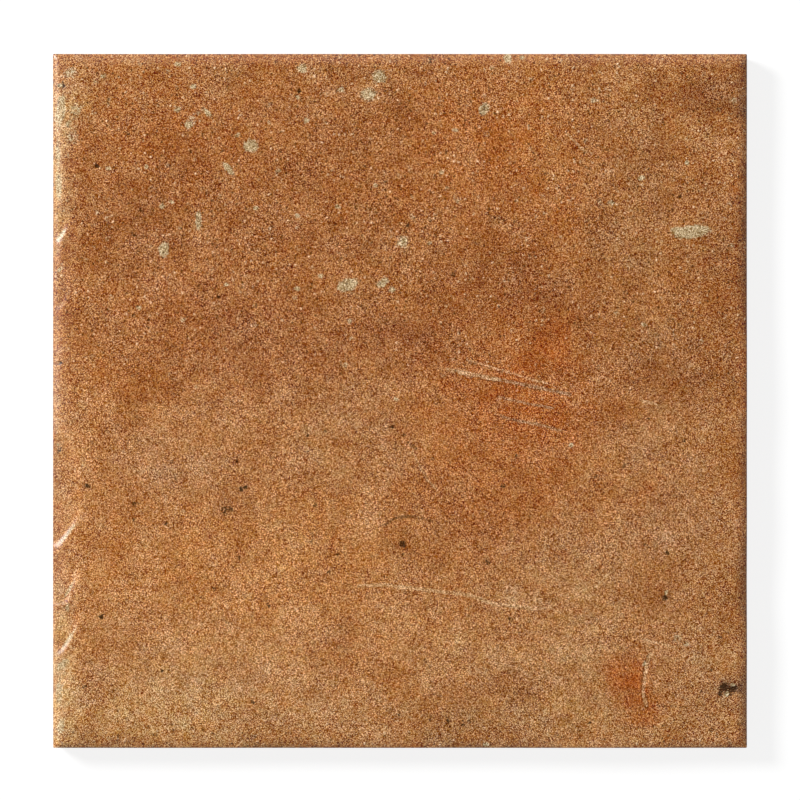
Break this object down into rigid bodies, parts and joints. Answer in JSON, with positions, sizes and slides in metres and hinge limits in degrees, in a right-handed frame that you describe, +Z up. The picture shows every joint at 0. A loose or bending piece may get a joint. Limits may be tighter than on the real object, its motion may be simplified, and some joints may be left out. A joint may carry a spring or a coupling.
{
  "type": "floor tile",
  "caption": "Square terracotta floor tile with a softly rolled, hand-hewn rim, a mottled red-brown satin face and a keyed back.",
  "frame": {"origin": "middle of the back, on the surface that the tile lies on", "axes": "+Z up, out of the wearing face; +X to the right of the face and +Y to its top, as in the picture"},
  "size_m": [0.2, 0.2, 0.01],
  "materials": {
    "terracotta": "satin"
  },
  "bodies": {
    "root": {"floor_tile": "terracotta"}
  },
  "joints": []
}
